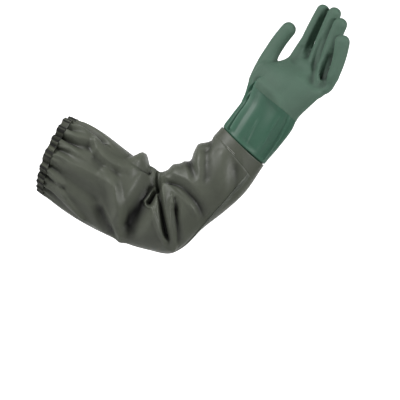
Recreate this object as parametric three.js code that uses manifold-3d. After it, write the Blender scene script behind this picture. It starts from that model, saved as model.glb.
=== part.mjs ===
// A long work glove for the left arm: a dipped hand and gauntlet joined to a coated fabric sleeve.
// Millimetres, +Z up. The arm lies in the XZ plane, the palm faces -Y and the sleeve's mouth faces -X.
// The origin is the centre of the mouth.

import * as THREE from 'three';
import { mergeVertices } from 'three/addons/utils/BufferGeometryUtils.js';
import Module from 'manifold-3d';

// Driving dimensions
const handWall = 1.8;
const gauntletWall = 1.5;
const sleeveWall = 1.6;
const bandWall = 1.0;
const bandWidth = 24;
const seamWidth = 12;
const seamWall = 1.0;
const seamGap = 0.8;
const hemWall = 4.0;
const hemLip = 1.2;
const hemWidth = 15;
const gap = 0.35;
const handLap = 16;
const uprightTurn = 8.5;
const mouthLean = 11;
const mouthLeanFade = 150;
const sidesOfSleeve = 54;
const sidesOfHand = 34;
const sidesOfFinger = 11;

// Places along the arm
const jointEdge = 403;
const coatEdge = 504;
const bandStart = jointEdge - bandWidth;

// The arm's sections. along runs from the mouth to the knuckles, x y z is the centre, half and deep are
// the half widths in and across the arm's plane, across is the angle of the wide axis in that plane,
// towards the inside of the elbow, and turn is how far the section is turned round the arm.
const armColumns = ['along', 'x', 'y', 'z', 'half', 'deep', 'across', 'turn'];
const armSections = named(armColumns, [
  [0, 0, 0, 0, 72, 58, 94, 0],
  [15, 14.5, 0, -1, 73.5, 59, 93.5, 0],
  [47, 47, 0, -3.5, 78.5, 61, 96.5, 0],
  [86, 86, 0, -7, 79.5, 61, 102, 0],
  [125, 125, 0, -10.5, 76.5, 60, 104, 0],
  [165, 164.5, 0, -12, 74, 58, 109, 0],
  [198, 197, 0, -8, 72.5, 56, 115, 0],
  [225, 223, 0, -2, 71.5, 54, 122, 0],
  [244, 235, 0, 13, 68, 53, 129, 0],
  [278, 250, 0, 43.5, 60, 52, 137, 0],
  [318, 267.5, 0, 79, 57.5, 50, 143, 0],
  [358, 282, 0, 116.7, 55, 47, 152, 0],
  [403, 290.5, 0, 162, 50, 43, 164, 0],
  [437, 298, 0, 195.5, 50.5, 38, 167, 7],
  [473, 304, 0, 230.5, 52, 35, 171, 17],
  [504, 300, 0, 261, 58.5, 34, 165, 22],
  [522, 303, 2, 277, 61, 33, 167, 24],
  [550, 312, 5, 302, 63, 31, 172, 25],
  [568, 325.5, 7, 317, 57, 28, 176, 25],
  [584, 336, 9, 332, 53.5, 25, 178, 25],
  [600, 340, 11, 347, 50, 19, 180, 25],
  [607, 340, 11.5, 353, 43, 9, 180, 25],
]);

// The main folds, each along a curve through three places. around is 0 at the inside of the elbow, 90 on
// the palm's side and 180 at the elbow's point. width is half of the fold's breadth, rise and endRise
// are its height at both ends, below zero for a valley, and sharp is 1 for a crease.
const foldColumns = ['along', 'around', 'midAlong', 'midAround', 'endAlong', 'endAround',
  'width', 'rise', 'endRise', 'sharp'];
const sleeveFolds = named(foldColumns, [
  [217, 14, 216, 70, 219, 136, 13, -17, -6, 0.8],
  [206, 22, 172, 75, 148, 142, 26, -13, -6, 0.2],
  [203, 46, 188, 80, 166, 140, 15, 6, 3, 0.3],
  [207, 60, 202, 74, 198, 84, 12, -6, -6, 0.2],
  [231, 84, 230, 115, 230, 162, 12, 5, 4, 0.4],
  [242, 92, 240, 125, 240, 156, 15, -7, -3, 0.2],
  [228, 40, 268, 66, 286, 136, 14, -6, -3, 0.4],
  [179, -40, 174, 0, 140, 44, 22, 21, 4, 0.1],
  [262, -30, 262, 0, 262, 30, 20, 6, 3, 0.2],
  [300, -30, 299, 20, 298, 62, 16, -6, -3, 0.3],
  [333, -34, 333, 2, 326, 46, 30, 13, 3, 0.1],
  [362, -25, 360, 4, 350, 30, 12, -2, -1, 0.3],
  [340, 33, 328, 55, 314, 77, 18, -4, -3, 0.1],
  [10, 42, 30, 42, 62, 48, 13, 5, 3, 0.3],
  [8, 56, 34, 66, 72, 54, 13, -6, -4, 0.2],
  [14, 98, 66, 98, 133, 109, 13, 4, 2, 0.7],
  [12, 120, 36, 132, 84, 158, 14, -6, -4, 0.3],
  [74, 40, 104, 50, 138, 44, 24, 5, 3, 0.1],
  [104, 58, 136, 98, 152, 176, 20, 5, 4, 0.4],
  [60, 28, 78, 28, 92, 26, 12, -4, -5, 0.3],
  [20, 200, 60, 225, 110, 250, 18, -5, -3, 0.3],
  [30, 290, 70, 280, 120, 285, 18, -5, -3, 0.3],
  [217, 346, 217, 285, 218, 225, 15, -14, -5, 0.6],
  [196, 330, 172, 285, 150, 215, 24, -9, -4, 0.2],
  [236, 320, 258, 285, 276, 230, 16, -7, -3, 0.3],
]);
const gauntletFolds = named(foldColumns, [
  [512, 50, 455, 36, 412, 42, 16, 3.2, 3, 0.8],
  [500, 140, 451, 131, 412, 134, 16, 3.2, 2.5, 0.8],
  [500, 95, 455, 85, 412, 90, 30, -2.5, -2, 0],
  [480, 12, 455, 10, 420, 14, 12, -3, -2, 0.2],
  [480, 280, 450, 270, 415, 275, 18, -3, -2, 0.2],
]);

// The gathers behind the elastic: how many, how deep at the mouth, and where they have died away.
const gathers = { count: sidesOfSleeve / 2, height: 2.4, full: 17, gone: 62 };

// Fingers, the thumb first. place is how far along the knuckles, forward how far towards the palm's side,
// reach the length from inside the palm, wide and thick the half sizes, lean the angle towards the little
// finger and curl the angle towards the palm, each from the root to the tip.
const fingerColumns = ['place', 'forward', 'root', 'reach', 'wide', 'midWide', 'endWide', 'thick',
  'endThick', 'lean', 'endLean', 'curl', 'endCurl'];
const fingers = named(fingerColumns, [
  [-74.3, 15, -50, 115.5, 12, 16.4, 12.6, 15, 11.8, -8, 19, -2, 5],
  [-37.5, -2, -2, 118, 12.8, 12.4, 11.6, 13.4, 11.4, 1, 1, -3, 8],
  [-13.5, 0, 0, 122, 12.6, 12.3, 11.8, 13.4, 11.4, 2, 3, -2, 13],
  [10, 1, 0, 111, 12.6, 12.4, 11.8, 13.4, 11.4, 2, 3, 0, 17],
  [34.5, 6, -20, 105, 10.5, 16.4, 12.4, 15, 12, 9, -9, 3, 18],
]);
const knuckles = new THREE.Vector3(338.5, 11, 330);
const handTurn = 25;

// The side seam's route on the sleeve
const seamRoute = named(['along', 'around'], [
  [20, 193.33], [100, 193.33], [200, 191], [230, 188], [246, 176], [258, 165], [283, 155], [316, 149],
  [352, 150], [377, 140],
]);

// Rows of points along each tube
const sleeveRows = [12, 17, 26, 40, 58, 80, 104, 126, 146, 164, 179, 192, 203, 210, 217, 223, 230,
  240, 252, 268, 292, 318, 346, 378, 403];
const gauntletRows = [381, 403.5, 409, 422, 446, 476, coatEdge, coatEdge + handLap];
const palmRows = [coatEdge, coatEdge + handLap, 538, 556, 573, 588, 600, 607];

// Tables and numbers
function named(columns, rows) {
  return rows.map((row) => Object.fromEntries(columns.map((column, k) => [column, row[k]])));
}

function mix(from, to, share) {
  return from + (to - from) * share;
}

function smooth(from, to, value) {
  const share = Math.min(Math.max((value - from) / (to - from), 0), 1);
  return share * share * (3 - 2 * share);
}

function radians(degrees) {
  return (degrees * Math.PI) / 180;
}

// A column's value between its rows, on a smooth curve
function valueAt(rows, column, along) {
  const last = rows.length - 1;
  let k = 0;
  while (k < last - 1 && along > rows[k + 1].along) k += 1;
  const slope = (i) => {
    const before = rows[Math.max(i - 1, 0)];
    const after = rows[Math.min(i + 1, last)];
    return (after[column] - before[column]) / (after.along - before.along);
  };
  const span = rows[k + 1].along - rows[k].along;
  const t = (along - rows[k].along) / span;
  const start = rows[k][column];
  const end = rows[k + 1][column];
  const bend = slope(k) * span;
  const endBend = slope(k + 1) * span;
  return start + t * (bend + t * (3 * (end - start) - 2 * bend - endBend
    + t * (2 * (start - end) + bend + endBend)));
}

// The arm's surface
function armFrame(along) {
  const section = Object.fromEntries(armColumns.map((column) =>
    [column, valueAt(armSections, column, along)]));
  const across = radians(section.across);
  const turn = radians(section.turn);
  const inPlane = new THREE.Vector3(Math.cos(across), 0, Math.sin(across));
  const near = new THREE.Vector3(0, -1, 0);
  const wideAxis = inPlane.clone().multiplyScalar(Math.cos(turn)).addScaledVector(near, -Math.sin(turn));
  const deepAxis = inPlane.clone().multiplyScalar(Math.sin(turn)).addScaledVector(near, Math.cos(turn));
  const centre = new THREE.Vector3(section.x, section.y, section.z);
  return { centre, wideAxis, deepAxis, half: section.half, deep: section.deep };
}

// Distance of a place from a fold's curve, with the share of the curve where it is nearest
function nearestOnFold(fold, along, around) {
  const mmPerDegree = 1.2;
  const steps = 8;
  let best = { distance: Infinity, share: 0 };
  for (let k = 0; k <= steps; k += 1) {
    const t = k / steps;
    const curve = (a, b, c) => a + t * (4 * b - 3 * a - c) + t * t * (2 * a + 2 * c - 4 * b);
    const du = along - curve(fold.along, fold.midAlong, fold.endAlong);
    let turn = around - curve(fold.around, fold.midAround, fold.endAround);
    turn -= 360 * Math.round(turn / 360);
    const distance = Math.hypot(du, turn * mmPerDegree);
    if (distance < best.distance) best = { distance, share: t };
  }
  return best;
}

function foldHeight(folds, along, around) {
  let height = 0;
  for (const fold of folds) {
    const { distance, share } = nearestOnFold(fold, along, around);
    const x = distance / fold.width;
    if (x < 1) {
      const profile = mix((1 - x * x) ** 2, (1 - x) ** 1.3, fold.sharp);
      height += mix(fold.rise, fold.endRise, share) * profile;
    }
  }
  return height;
}

function gatherHeight(along, around) {
  const strength = 1 - smooth(gathers.full, gathers.gone, along);
  return gathers.height * strength * (Math.cos(radians(around * gathers.count)) - 1) / 2;
}

function sleeveHeight(along, around) {
  return foldHeight(sleeveFolds, Math.max(along, gathers.full), around) + gatherHeight(along, around);
}

// The gauntlet and the palm are smooth where the sleeve covers them
function gauntletHeight(along, around) {
  return foldHeight(gauntletFolds, along, around) * smooth(jointEdge + 2, jointEdge + 20, along);
}

// A point of the arm, raised by its folds and sunk below them by inset
function armPoint(along, around, inset, heightAt) {
  const frame = armFrame(along);
  const angle = radians(around);
  const outward = frame.wideAxis.clone().multiplyScalar(Math.cos(angle) / frame.half)
    .addScaledVector(frame.deepAxis, Math.sin(angle) / frame.deep).normalize();
  const point = frame.centre.clone().addScaledVector(frame.wideAxis, frame.half * Math.cos(angle))
    .addScaledVector(frame.deepAxis, frame.deep * Math.sin(angle))
    .addScaledVector(outward, heightAt(along, around) - inset);
  point.x -= mouthLean * Math.sin(angle) * (1 - smooth(0, mouthLeanFade, along));
  return point;
}

function armRing(along, sides, inset, heightAt) {
  return Array.from({ length: sides }, (_, k) => armPoint(along, (360 * k) / sides, inset, heightAt));
}

// How far the sleeve sinks under the hem's lip and under the joint's band, and the gauntlet in its laps
function sleeveInset(along) {
  const underHem = (hemLip + gap) * (1 - smooth(hemWidth + 1, 26, along));
  const underBand = (bandWall + gap) * smooth(bandStart - 14, bandStart - 1, along);
  return underHem + underBand;
}

function gauntletInset(along) {
  const inSleeve = bandWall + gap + sleeveWall + 2 * gap;
  return mix(inSleeve, handWall + gap, smooth(jointEdge + 0.5, jointEdge + 6, along));
}

// Meshes
function meshFrom(points, faces) {
  const geometry = new THREE.BufferGeometry();
  geometry.setAttribute('position', new THREE.Float32BufferAttribute(
    points.flatMap((point) => [point.x, point.y, point.z]), 3));
  geometry.setIndex(signedVolume(points, faces) > 0 ? faces.flat()
    : faces.flatMap(([a, b, c]) => [a, c, b]));
  return geometry;
}

function signedVolume(points, faces) {
  return faces.reduce((sum, [a, b, c]) =>
    sum + points[a].dot(points[b].clone().cross(points[c])) / 6, 0);
}

// Two triangles for each pair of neighbours on two rings
function joinRings(faces, first, second, sides) {
  for (let k = 0; k < sides; k += 1) {
    const next = (k + 1) % sides;
    faces.push([first + k, first + next, second + k]);
    faces.push([first + next, second + next, second + k]);
  }
}

// A tube's wall: its rings go along the outside and come back along the inside
function wallOf(rings) {
  const sides = rings[0].length;
  const faces = [];
  rings.forEach((ring, k) => joinRings(faces, k * sides, ((k + 1) % rings.length) * sides, sides));
  return meshFrom(rings.flat(), faces);
}

// A solid through rings, closed at both ends by a point in the middle
function solidOf(rings, endPoint) {
  const sides = rings[0].length;
  const middle = (ring) => ring.reduce((sum, point) => sum.add(point), new THREE.Vector3())
    .divideScalar(sides);
  const points = [...rings.flat(), middle(rings[0]), endPoint ?? middle(rings[rings.length - 1])];
  const faces = [];
  for (let k = 0; k < rings.length - 1; k += 1) joinRings(faces, k * sides, (k + 1) * sides, sides);
  const start = rings.length * sides;
  for (let k = 0; k < sides; k += 1) {
    const next = (k + 1) % sides;
    faces.push([next, k, start]);
    faces.push([start - sides + k, start - sides + next, start + 1]);
  }
  return meshFrom(points, faces);
}

// Joining and cutting
const wasm = await Module();
wasm.setup();

function manifoldOf(geometry) {
  const merged = mergeVertices(geometry, 1e-4);
  return new wasm.Manifold(new wasm.Mesh({
    numProp: 3,
    vertProperties: new Float32Array(merged.attributes.position.array),
    triVerts: new Uint32Array(merged.index.array),
  }));
}

function geometryOf(manifold) {
  const mesh = manifold.getMesh();
  const geometry = new THREE.BufferGeometry();
  geometry.setAttribute('position', new THREE.BufferAttribute(mesh.vertProperties, 3));
  geometry.setIndex(new THREE.BufferAttribute(mesh.triVerts, 1));
  return geometry;
}

// Sleeve
function sleeveWallGeometry() {
  const outside = sleeveRows.map((along) =>
    armRing(along, sidesOfSleeve, sleeveInset(along), sleeveHeight));
  const inside = sleeveRows.map((along) =>
    armRing(along, sidesOfSleeve, sleeveInset(along) + sleeveWall, sleeveHeight));
  return wallOf([...outside, ...inside.reverse()]);
}

// Elastic hem: a thick casing whose lip covers the sleeve's edge
function hemGeometry() {
  const profile = named(['along', 'inset'], [
    [1.2, 0], [hemWidth / 2, 0], [hemWidth, 0], [hemWidth, hemLip], [sleeveRows[0] - gap, hemLip],
    [sleeveRows[0] - gap, hemWall], [1.2, hemWall], [0, hemWall / 2],
  ]);
  return wallOf(profile.map(({ along, inset }) => armRing(along, sidesOfSleeve, inset, sleeveHeight)));
}

// Joint band: a plain band over the sleeve's end
function bandGeometry() {
  const rows = [bandStart, jointEdge];
  const outside = rows.map((along) => armRing(along, sidesOfSleeve, 0, sleeveHeight));
  const inside = rows.map((along) => armRing(along, sidesOfSleeve, bandWall, sleeveHeight));
  return wallOf([...outside, ...inside.reverse()]);
}

// Gauntlet
function gauntletGeometry() {
  const outside = gauntletRows.map((along) =>
    armRing(along, sidesOfHand, gauntletInset(along), gauntletHeight));
  const inside = gauntletRows.map((along) =>
    armRing(along, sidesOfHand, gauntletInset(along) + gauntletWall, gauntletHeight));
  return wallOf([...outside, ...inside.reverse()]);
}

// A place on the sleeve's row of points, on the straight edge between two of them
function onSleeveRow(along, around, lift) {
  const step = 360 / sidesOfSleeve;
  const k = Math.floor(around / step);
  const inset = sleeveInset(along) - lift;
  const before = armPoint(along, k * step, inset, sleeveHeight);
  const after = armPoint(along, (k + 1) * step, inset, sleeveHeight);
  return before.lerp(after, around / step - k);
}

// Side seam: a flat strip laid on the sleeve
function seamGeometry() {
  const first = seamRoute[0].along;
  const last = seamRoute[seamRoute.length - 1].along;
  const rows = [first, ...sleeveRows.filter((along) => along > first && along < last), last];
  const strands = 4;
  const rings = rows.map((along) => {
    const middle = valueAt(seamRoute, 'around', along);
    const radius = (armFrame(along).half + armFrame(along).deep) / 2;
    const reach = (seamWidth / 2 / radius) * (180 / Math.PI);
    const across = Array.from({ length: strands + 1 }, (_, k) =>
      mix(middle - reach, middle + reach, k / strands));
    const top = across.map((around) => onSleeveRow(along, around, seamGap + seamWall));
    const bottom = across.map((around) => onSleeveRow(along, around, seamGap));
    return [...top, ...bottom.reverse()];
  });
  return solidOf(rings);
}

// Fingers: rings of points round a path that leans and curls, closed by a round tip
function fingerSolid(finger, inset) {
  const turn = radians(handTurn);
  const towardsLittle = new THREE.Vector3(Math.cos(turn), -Math.sin(turn), 0);
  const towardsPalm = new THREE.Vector3(-Math.sin(turn), -Math.cos(turn), 0);
  const up = new THREE.Vector3(0, 0, 1);
  const steps = 40;
  const tipRound = 0.1;
  const ringShares = [0, 0.25, 0.45, 0.65, 0.8, 0.9, 0.955, 0.988];
  const reach = finger.reach - inset;
  const point = knuckles.clone().addScaledVector(towardsLittle, finger.place)
    .addScaledVector(towardsPalm, finger.forward).addScaledVector(up, finger.root);
  const path = [point.clone()];
  const frames = [];
  for (let k = 0; k <= steps; k += 1) {
    const lean = radians(mix(finger.lean, finger.endLean, k / steps));
    const curl = radians(mix(finger.curl, finger.endCurl, k / steps));
    const ahead = up.clone().multiplyScalar(Math.cos(curl) * Math.cos(lean))
      .addScaledVector(towardsPalm, Math.sin(curl)).addScaledVector(towardsLittle, Math.sin(lean))
      .normalize();
    const side = towardsPalm.clone().cross(ahead).normalize();
    frames.push({ side, front: ahead.clone().cross(side).normalize() });
    point.addScaledVector(ahead, reach / steps);
    path.push(point.clone());
  }
  const rings = ringShares.map((share) => {
    const k = Math.min(Math.floor(share * steps), steps - 1);
    const centre = path[k].clone().lerp(path[k + 1], share * steps - k);
    const intoTip = Math.max((share - 1 + tipRound) / tipRound, 0);
    const round = Math.sqrt(1 - intoTip * intoTip);
    const belly = finger.midWide - (finger.wide + finger.endWide) / 2;
    const wide = (mix(finger.wide, finger.endWide, share) + 4 * belly * share * (1 - share) - inset)
      * round;
    const thick = (mix(finger.thick, finger.endThick, share) - inset) * round;
    return Array.from({ length: sidesOfFinger }, (_, n) => {
      const angle = (2 * Math.PI * n) / sidesOfFinger;
      return centre.clone().addScaledVector(frames[k].side, wide * Math.cos(angle))
        .addScaledVector(frames[k].front, thick * Math.sin(angle));
    });
  });
  return manifoldOf(solidOf(rings, path[steps]));
}

// Palm: the arm's own sections, carried on to the knuckles
function palmSolid(inset, opening) {
  const rows = palmRows.filter((along) => along > coatEdge || inset === 0);
  const last = rows[rows.length - 1];
  const rings = rows.map((along) =>
    armRing(along - (along === last ? inset : 0), sidesOfHand, inset, gauntletHeight));
  if (inset > 0) rings.unshift(armRing(coatEdge, sidesOfHand, inset, gauntletHeight));
  if (opening > 0) rings.unshift(armRing(coatEdge - opening, sidesOfHand, inset, gauntletHeight));
  return manifoldOf(solidOf(rings));
}

function handGeometry() {
  const opening = 6;
  let outer = palmSolid(0, 0);
  let hollow = palmSolid(handWall, opening);
  for (const finger of fingers) {
    outer = outer.add(fingerSolid(finger, 0));
    hollow = hollow.add(fingerSolid(finger, handWall));
  }
  return geometryOf(outer.subtract(hollow));
}

// Materials
const coat = new THREE.MeshStandardMaterial({ color: '#576e5f', roughness: 0.62, metalness: 0 });
const cuff = new THREE.MeshStandardMaterial({ color: '#436454', roughness: 0.34, metalness: 0 });
const fabric = new THREE.MeshStandardMaterial({ color: '#565b4f', roughness: 0.5, metalness: 0 });
const tape = new THREE.MeshStandardMaterial({ color: '#4e5852', roughness: 0.45, metalness: 0 });
const gathered = new THREE.MeshStandardMaterial({ color: '#33342a', roughness: 0.6, metalness: 0 });

// The glove, turned so that the hand stands upright
const glove = new THREE.Group();
const arm = new THREE.Group();
arm.rotation.y = -radians(uprightTurn);
glove.add(arm);

function place(name, geometry, material) {
  const mesh = new THREE.Mesh(geometry, material);
  mesh.name = name;
  arm.add(mesh);
}

place('hand', handGeometry(), coat);
place('gauntlet', gauntletGeometry(), cuff);
place('sleeve', sleeveWallGeometry(), fabric);
place('joint_band', bandGeometry(), tape);
place('side_seam', seamGeometry(), fabric);
place('elastic_hem', hemGeometry(), gathered);

export default glove;
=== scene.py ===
# %% [markdown]
# # A long rubber work glove
# The object is one glove for the left hand: a green dipped hand, a smooth gauntlet, and a long
# sleeve of coated fabric that bends at the elbow and ends in a gathered, elastic hem.
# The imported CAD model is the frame. Each piece below, but for a few stitches, is a finer version of
# one of its nodes and stays on it, so the looks and the checks share one place and one size.

# %% The frame
import math

import bpy
import numpy as np
from mathutils import Matrix, Vector


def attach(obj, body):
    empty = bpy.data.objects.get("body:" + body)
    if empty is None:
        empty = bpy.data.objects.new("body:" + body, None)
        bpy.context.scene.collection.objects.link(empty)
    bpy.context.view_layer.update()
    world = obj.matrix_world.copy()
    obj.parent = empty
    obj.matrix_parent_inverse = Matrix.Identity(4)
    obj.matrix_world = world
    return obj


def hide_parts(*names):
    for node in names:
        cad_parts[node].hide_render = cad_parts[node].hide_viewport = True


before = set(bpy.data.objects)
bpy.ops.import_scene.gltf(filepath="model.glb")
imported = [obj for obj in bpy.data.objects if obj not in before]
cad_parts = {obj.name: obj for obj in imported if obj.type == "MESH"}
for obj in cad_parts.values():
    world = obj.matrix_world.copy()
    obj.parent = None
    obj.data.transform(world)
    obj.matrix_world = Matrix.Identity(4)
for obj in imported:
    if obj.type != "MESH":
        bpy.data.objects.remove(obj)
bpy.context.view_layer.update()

print("nodes of the frame:", sorted(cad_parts))

# %% [markdown]
# ## The arm as a row of oval sections
# A sleeve could be drawn freely by sculpting, but then it would drift off the frame. Here the same
# table that shapes the frame gives every piece its place: each row is one oval section, with its
# distance along the arm, its centre, its two half widths, the direction it faces and its turn.
# Distances are in millimetres and angles in degrees, as a glove maker would measure them.

# %% Sections of the arm
MM = 0.001
UPRIGHT_TURN = math.radians(8.5)
MOUTH_LEAN = 11
MOUTH_LEAN_FADE = 150
JOINT_EDGE = 403
COAT_EDGE = 504
SECTION_COLUMNS = ["along", "x", "y", "z", "half", "deep", "across", "turn"]
SECTIONS = np.array([
    [0, 0, 0, 0, 72, 58, 94, 0],
    [15, 14.5, 0, -1, 73.5, 59, 93.5, 0],
    [47, 47, 0, -3.5, 78.5, 61, 96.5, 0],
    [86, 86, 0, -7, 79.5, 61, 102, 0],
    [125, 125, 0, -10.5, 76.5, 60, 104, 0],
    [165, 164.5, 0, -12, 74, 58, 109, 0],
    [198, 197, 0, -8, 72.5, 56, 115, 0],
    [225, 223, 0, -2, 71.5, 54, 122, 0],
    [244, 235, 0, 13, 68, 53, 129, 0],
    [278, 250, 0, 43.5, 60, 52, 137, 0],
    [318, 267.5, 0, 79, 57.5, 50, 143, 0],
    [358, 282, 0, 116.7, 55, 47, 152, 0],
    [403, 290.5, 0, 162, 50, 43, 164, 0],
    [437, 298, 0, 195.5, 50.5, 38, 167, 7],
    [473, 304, 0, 230.5, 52, 35, 171, 17],
    [504, 300, 0, 261, 58.5, 34, 165, 22],
    [522, 303, 2, 277, 61, 33, 167, 24],
    [550, 312, 5, 302, 63, 31, 172, 25],
    [568, 325.5, 7, 317, 57, 27, 176, 25],
    [584, 336, 9, 332, 53.5, 21, 178, 25],
    [600, 340, 11, 347, 50, 15, 180, 25],
    [607, 340, 11.5, 353, 43, 8, 180, 25],
], float)
print("sections:", len(SECTIONS), "with columns", SECTION_COLUMNS)

# %% [markdown]
# Between two rows the arm has to run on without a kink. Straight lines would show as facets on the
# soft cloth, so a curve is fitted that passes through each row with the slope of its neighbours.

# %% Reading the sections
def hermite(at, table):
    """The rows of a table read at any distance: smooth between its rows, and on each of them."""
    places, rows = table[:, 0], table[:, 1:]
    slopes = np.gradient(rows, axis=0) / np.gradient(places)[:, None]
    at = np.clip(at, places[0], places[-1])
    i = np.clip(np.searchsorted(places, at, side="right") - 1, 0, len(places) - 2)
    span = (places[i + 1] - places[i])[:, None]
    t = (at[:, None] - places[i][:, None]) / span
    return (
        (2 * t**3 - 3 * t**2 + 1) * rows[i]
        + (t**3 - 2 * t**2 + t) * span * slopes[i]
        + (3 * t**2 - 2 * t**3) * rows[i + 1]
        + (t**3 - t**2) * span * slopes[i + 1]
    )


def smooth(low, high, value):
    """0 up to low, 1 from high on, and a soft step between them."""
    t = np.clip((value - low) / (high - low), 0, 1)
    return t * t * (3 - 2 * t)


def upright(point):
    """From the arm's own frame, in millimetres, to the shared frame in metres."""
    c, s = math.cos(UPRIGHT_TURN), math.sin(UPRIGHT_TURN)
    x, y, z = point.T
    return np.stack([x * c - z * s, y, x * s + z * c], 1) * MM


def arm_points(along, around, height):
    """Places on the arm, in metres and in the frame: height is how far out of the oval they lie."""
    along, around, height = (a.ravel() for a in np.broadcast_arrays(along, around, height))
    row = hermite(along, SECTIONS)
    centre, half, deep = row[:, :3], row[:, 3], row[:, 4]
    across, turn, angle = np.radians(row[:, 5]), np.radians(row[:, 6]), np.radians(around)
    in_plane = np.stack([np.cos(across), 0 * across, np.sin(across)], 1)
    near = np.array([0.0, -1.0, 0.0])
    wide_way = in_plane * np.cos(turn)[:, None] - near * np.sin(turn)[:, None]
    deep_way = in_plane * np.sin(turn)[:, None] + near * np.cos(turn)[:, None]
    out = wide_way * (deep * np.cos(angle))[:, None] + deep_way * (half * np.sin(angle))[:, None]
    out /= np.linalg.norm(out, axis=1)[:, None]
    point = (
        centre
        + wide_way * (half * np.cos(angle))[:, None]
        + deep_way * (deep * np.sin(angle))[:, None]
        + out * height[:, None]
    )
    point[:, 0] -= MOUTH_LEAN * np.sin(angle) * (1 - smooth(0, MOUTH_LEAN_FADE, along))
    return upright(point)


ARM_LINE = upright(hermite(np.linspace(0, SECTIONS[-1, 0], 120), SECTIONS)[:, :3])
print("the arm's middle line runs from", ARM_LINE[0].round(3), "to", ARM_LINE[-1].round(3))

# %% [markdown]
# ## Folds as curved lines
# Cloth folds could come from a simulation, but a simulation won't give the folds that this glove
# was photographed with. So every fold is one row: a curve through three places on the piece, a
# width, a height at each end (below zero for a valley), how sharp its crest is, and how far its
# crest leans to one side, which makes one flank steep as on a fold that tips over.

# %% Fold heights
FOLD_COLUMNS = ["first", "second", "mid first", "mid second", "end first", "end second",
                "width", "rise", "end rise", "sharp", "skew"]
print("a fold's columns:", FOLD_COLUMNS)
DEGREE = 1.2  # millimetres of cloth for one degree round the arm
CURVE_STEPS = 28
SOFT_START = -0.08
SOFT_END = 0.16
SHARP_POWER = 1.3


def fold_heights(first, second, folds, round_it=True):
    """The sum of all folds. first is along and second around the arm, or x and z on the hand."""
    total = np.zeros(first.shape)
    share = np.linspace(0, 1, CURVE_STEPS)
    scale = DEGREE if round_it else 1.0
    for a0, r0, a1, r1, a2, r2, width, rise, end_rise, sharp, skew in folds:
        weights = np.stack([(1 - share) ** 2, 2 * share * (1 - share), share**2])
        curve_a = np.array([a0, 2 * a1 - (a0 + a2) / 2, a2]) @ weights
        curve_r = np.array([r0, 2 * r1 - (r0 + r2) / 2, r2]) @ weights
        near = (first > curve_a.min() - width) & (first < curve_a.max() + width)
        a, r = first[near], second[near]
        best, side, where = np.full(a.shape, 1e9), np.zeros(a.shape), np.zeros(a.shape)
        for k in range(CURVE_STEPS - 1):
            ta, tr = curve_a[k + 1] - curve_a[k], (curve_r[k + 1] - curve_r[k]) * scale
            da, dr = a - curve_a[k], r - curve_r[k]
            if round_it:
                dr = ((dr + 180) % 360 - 180) * scale
            t = np.clip((da * ta + dr * tr) / (ta * ta + tr * tr), 0, 1)
            d = np.hypot(da - t * ta, dr - t * tr)
            closer = d < best
            best = np.where(closer, d, best)
            side = np.where(closer, np.sign(da * tr - dr * ta), side)
            where = np.where(closer, (k + t) / (CURVE_STEPS - 1), where)
        x = side * best / width
        x = np.clip(np.where(x > skew, (x - skew) / (1 - skew), (skew - x) / (1 + skew)), 0, 1)
        profile = (1 - sharp) * (1 - x**2) ** 2 + sharp * (1 - x) ** SHARP_POWER
        soft = smooth(SOFT_START, SOFT_END, where) * smooth(SOFT_START, SOFT_END, 1 - where)
        total[near] += (rise + (end_rise - rise) * where) * profile * soft
    return total


# %% [markdown]
# ## Sheets that close into tubes
# Sleeve, gauntlet, band and hem are all tubes. A cylinder primitive has one row of faces, so a grid
# primitive is used: its columns go round the arm and its rows go along it, its two side edges are
# merged, and its own UV map then measures the cloth.

# %% Grids on the arm
MERGE_WITHIN = 2e-6
EVERY = 37  # one face in so many is enough to tell inside from outside


def select_only(obj):
    bpy.ops.object.select_all(action="DESELECT")
    obj.select_set(True)
    bpy.context.view_layer.objects.active = obj


def face_outward(obj):
    """Turns all the normals round where most of them point at the middle line of the arm."""
    middle = np.array([p.center for p in obj.data.polygons])
    normal = np.array([p.normal for p in obj.data.polygons])
    middle, normal = middle[::EVERY], normal[::EVERY]
    nearest = np.array([ARM_LINE[np.argmin(((ARM_LINE - m) ** 2).sum(1))] for m in middle])
    if ((middle - nearest) * normal).sum() < 0:
        obj.data.flip_normals()


def grid_sheet(name, columns, rows, place):
    """A grid primitive laid on the arm; place(u, v) gives its points for u round and v along."""
    bpy.ops.mesh.primitive_grid_add(x_subdivisions=columns, y_subdivisions=rows, size=1)
    obj = bpy.context.active_object
    obj.name = obj.data.name = name
    co = np.empty(len(obj.data.vertices) * 3)
    obj.data.vertices.foreach_get("co", co)
    co = co.reshape(-1, 3)
    obj.data.vertices.foreach_set("co", place(co[:, 0] + 0.5, co[:, 1] + 0.5).ravel())
    bpy.ops.object.mode_set(mode="EDIT")
    bpy.ops.mesh.select_all(action="SELECT")
    bpy.ops.mesh.remove_doubles(threshold=MERGE_WITHIN)
    bpy.ops.object.mode_set(mode="OBJECT")
    face_outward(obj)
    bpy.ops.object.shade_smooth()
    return obj


# %% [markdown]
# A wall gives the cloth its thickness, and shadow gathers in its hollows, which the finishes paint in
# as painted shade. Rendered ambient occlusion doesn't go with a piece into another program, so each
# point keeps a value of its own for how deep it lies, worked out by smoothing a copy of the skin and
# measuring against it.

# %% Walls, crevices and the frame
def modify(obj, kind, **values):
    """Adds a modifier and applies it."""
    select_only(obj)
    made = obj.modifiers.new(kind.title(), kind)
    for key, value in values.items():
        setattr(made, key, value)
    bpy.ops.object.modifier_apply(modifier=made.name)


def thicken(obj, wall):
    modify(obj, "SOLIDIFY", thickness=wall * MM, offset=-1, use_even_offset=False)


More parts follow.
